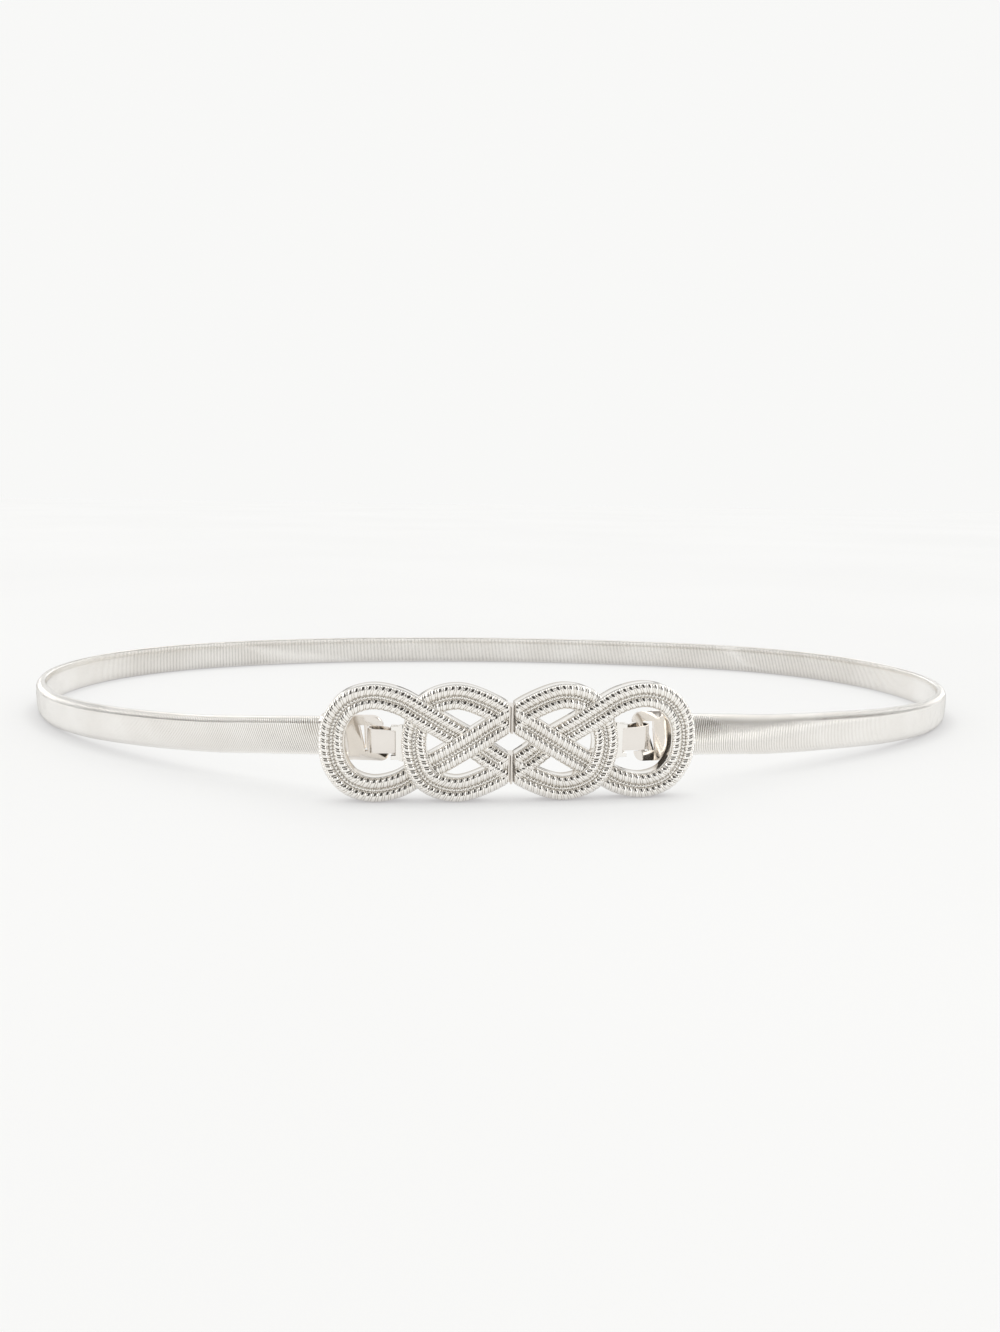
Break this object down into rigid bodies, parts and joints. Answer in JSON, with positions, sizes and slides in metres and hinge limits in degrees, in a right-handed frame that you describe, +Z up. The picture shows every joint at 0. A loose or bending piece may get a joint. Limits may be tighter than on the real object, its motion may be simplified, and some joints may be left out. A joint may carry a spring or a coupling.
{
  "type": "metal belt",
  "caption": "Polished metal stretch belt: a flattened coil band in a closed loop, fastened at the front by a cast buckle in plaited halves.",
  "frame": {"origin": "middle of the footprint, on the surface that the belt stands on", "axes": "+X across the loop's longest width, to the right as the buckle is seen from the front; the buckle faces -Y; +Z up"},
  "size_m": [0.291, 0.1892, 0.027],
  "materials": {
    "coil": "polished steel wire, bright plated, wound close",
    "cast": "bright plated casting with corded relief",
    "sheet": "smooth bright plated sheet and castings"
  },
  "bodies": {
    "root": {"coil_band": "coil", "buckle_left": "cast", "buckle_right": "cast", "hook_strap_left": "sheet", "hook_strap_right": "sheet", "end_plate_left": "sheet", "end_plate_right": "sheet", "clasp_hook": "sheet"}
  },
  "joints": []
}
